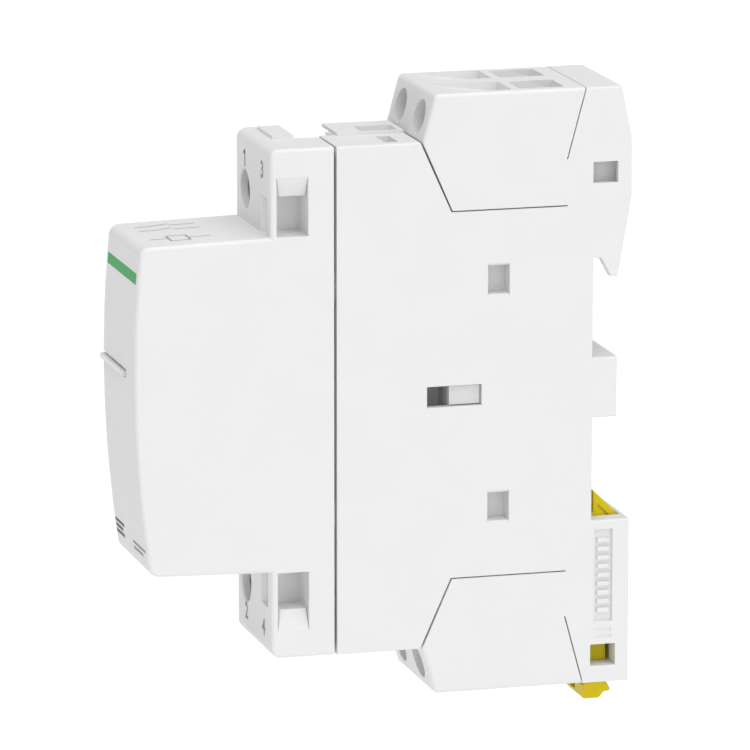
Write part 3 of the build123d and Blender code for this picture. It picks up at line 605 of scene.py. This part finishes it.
class CONTACTOR_OT_marks(bpy.types.Operator):
    """Print the plain marks: a colour bar, rating bars and a wiring symbol; and paint the terminal numbers as
    grey marks of painted shade that stand in for their debossed grooves.
    """
    bl_idname = "contactor.marks"
    bl_label = "Marks"

    def execute(self, context):
        colours = settings()[0]
        accent = ink_and_shade_material("Accent ink", colours.accent_ink)
        dark = ink_and_shade_material("Dark ink", colours.dark_ink)
        # This pale grey serves the laser-marked bars and symbol, and as painted shade for the grooves of the
        # debossed terminal numbers
        pale_print_and_shade = ink_and_shade_material("Laser mark", colours.pale_print_and_groove_shade)
        front = Matrix(((1, 0, 0, 0), (0, 0, -1, FRONT_Y), (0, 1, 0, 0), (0, 0, 0, 1)))
        bar = stroke((-7.2 * MM, 17.85 * MM), (7.2 * MM, 17.85 * MM), 1.5 * MM)
        lay_print_and_painted_shade(bar, "accent_bar", front, accent)
        rows = [stroke((-8.0 * MM, z * MM), (end * MM, z * MM), 0.5 * MM)
                for z, end in ((-17.9, -3.4), (-18.7, -4.4), (-19.5, -3.9))]
        lay_print_and_painted_shade(join(rows), "rating_bars", front, dark)
        rows = [stroke((1.6 * MM, z * MM), (end * MM, z * MM), 0.4 * MM)
                for z, end in ((-18.9, 8.0), (-19.7, 6.4))]
        lay_print_and_painted_shade(join(rows), "date_bars", front, pale_print_and_shade)
        self.numbers(pale_print_and_shade)
        self.symbol(pale_print_and_shade)
        return {"FINISHED"}

    def numbers(self, ink):
        """Terminal numbers on the two shoulders, as grey marks of painted shade that stand in for debossed
        grooves.
        """
        for text, x, z in (("1", -4.2, 30.8), ("3", 4.8, 30.8), ("2", -4.2, -30.8), ("4", 4.8, -30.8)):
            clear()
            bpy.ops.object.text_add()
            number = bpy.context.active_object
            number.data.body = text
            number.data.size = NUMERAL_SIZE
            number.data.offset = NUMERAL_BOLD
            number.data.align_x = "CENTER"
            number.data.align_y = "CENTER"
            bpy.ops.object.convert(target="MESH")
            number = bpy.context.active_object
            if text == "1":
                number = join([number, stroke((-0.75 * MM, 0.7 * MM), (0, 1.05 * MM), 0.36 * MM)])
            place = Matrix(((1, 0, 0, x * MM), (0, 0, -1, SHOULDER_Y), (0, 1, 0, z * MM), (0, 0, 0, 1)))
            # The ink here is painted shade: a grey numeral lying where the debossed groove would be dark
            lay_print_and_painted_shade(number, f"terminal_number_{text}", place, ink)

    def symbol(self, ink):
        """Wiring symbol on top of the nose: two make contacts and a coil."""
        lines = []
        for x in (-5.0, -2.2):
            lines.append(stroke((x * MM, -59.0 * MM), (x * MM, -57.0 * MM), SYMBOL_LINE))
            lines.append(stroke((x * MM, -57.0 * MM), ((x - 0.9) * MM, -54.6 * MM), SYMBOL_LINE))
            lines.append(stroke((x * MM, -54.4 * MM), (x * MM, -51.0 * MM), SYMBOL_LINE))
        for y in (-56.6, -54.0):
            lines.append(stroke((2.2 * MM, y * MM), (5.4 * MM, y * MM), SYMBOL_LINE))
        for x in (2.2, 5.4):
            lines.append(stroke((x * MM, -56.6 * MM), (x * MM, -54.0 * MM), SYMBOL_LINE))
        for low, high in ((-59.0, -56.6), (-54.0, -51.0)):
            lines.append(stroke((3.8 * MM, low * MM), (3.8 * MM, high * MM), SYMBOL_LINE))
        place = Matrix.Translation((0, 0, NOSE_TOP_Z))
        lay_print_and_painted_shade(join(lines), "wiring_symbol", place, ink)


# ---------------------------------------------------------------- stage
class CONTACTOR_OT_stage(bpy.types.Operator):
    """Floor, soft studio light and the camera."""
    bl_idname = "contactor.stage"
    bl_label = "Stage"

    def execute(self, context):
        scene = context.scene
        scene.view_settings.view_transform = "Standard"
        bpy.ops.object.select_all(action="DESELECT")
        bpy.ops.mesh.primitive_plane_add(size=12, location=(0, 0, -0.45))
        floor = context.active_object
        floor.name = "studio_floor"
        bpy.ops.object.transform_apply(location=True)
        material, _, _, _ = start_material("Paper, white", "fbfbfb", Roughness=0.9)
        floor.data.materials.append(material)
        world = bpy.data.worlds.new("Studio")
        world.use_nodes = True
        world.node_tree.nodes["Background"].inputs["Color"].default_value = (1, 1, 1, 1)
        world.node_tree.nodes["Background"].inputs["Strength"].default_value = 0.325
        scene.world = world
        self.light("side_soft", Vector((1.0, 0.22, 0.2)), 1.97, 120)
        self.light("top_soft", Vector((0.0, -0.1, 1.0)), 1.86, 80)
        self.camera(scene)
        return {"FINISHED"}

    def light(self, name, towards, strength, spread):
        """Even light from one direction, softened by its spread in degrees."""
        lamp = bpy.data.lights.new(name, "SUN")
        lamp.energy = strength
        lamp.angle = radians(spread)
        holder = bpy.data.objects.new(name, lamp)
        holder.rotation_euler = towards.to_track_quat("Z", "Y").to_euler()
        bpy.context.scene.collection.objects.link(holder)

    def camera(self, scene):
        """Long lens, low on the front right."""
        azimuth, elevation = radians(74.454), radians(12.128)
        back = Vector((sin(azimuth) * cos(elevation), -cos(azimuth) * cos(elevation), sin(elevation)))
        lens = bpy.data.cameras.new("camera")
        lens.sensor_width = 36.0
        lens.lens = 320.7
        holder = bpy.data.objects.new("camera", lens)
        holder.location = (0.83736, -0.26047, 0.18825)
        holder.rotation_euler = back.to_track_quat("Z", "Y").to_euler()
        scene.collection.objects.link(holder)
        scene.camera = holder


# ---------------------------------------------------------------- panel and registration
class CONTACTOR_PT_panel(bpy.types.Panel):
    """Steps and settings of the contactor."""
    bl_label = "Contactor"
    bl_space_type = "VIEW_3D"
    bl_region_type = "UI"
    bl_category = "Contactor"

    def draw(self, context):
        for step in STEPS:
            self.layout.operator(step.bl_idname)
        for name, group in GROUPS.items():
            for key in group.__annotations__:
                self.layout.prop(getattr(context.scene, name), key)


GROUPS = {
    "contactor_colours": CONTACTOR_PG_colours,
    "contactor_sizes": CONTACTOR_PG_sizes,
    "contactor_springs": CONTACTOR_PG_springs,
    "contactor_screws": CONTACTOR_PG_screws,
    "contactor_magnet": CONTACTOR_PG_magnet,
}
STEPS = (CONTACTOR_OT_stage, CONTACTOR_OT_materials, CONTACTOR_OT_springs, CONTACTOR_OT_screws,
         CONTACTOR_OT_magnet, CONTACTOR_OT_marks)


def register():
    for item in (*GROUPS.values(), *STEPS, CONTACTOR_PT_panel):
        bpy.utils.register_class(item)
    for name, group in GROUPS.items():
        setattr(bpy.types.Scene, name, bpy.props.PointerProperty(type=group))


def unregister():
    for name in GROUPS:
        delattr(bpy.types.Scene, name)
    for item in reversed((*GROUPS.values(), *STEPS, CONTACTOR_PT_panel)):
        bpy.utils.unregister_class(item)


def main():
    """Run every step in order."""
    register()
    bpy.ops.contactor.stage()
    bpy.ops.contactor.materials()
    bpy.ops.contactor.springs()
    bpy.ops.contactor.screws()
    bpy.ops.contactor.magnet()
    bpy.ops.contactor.marks()


if __name__ == "__main__":
    main()
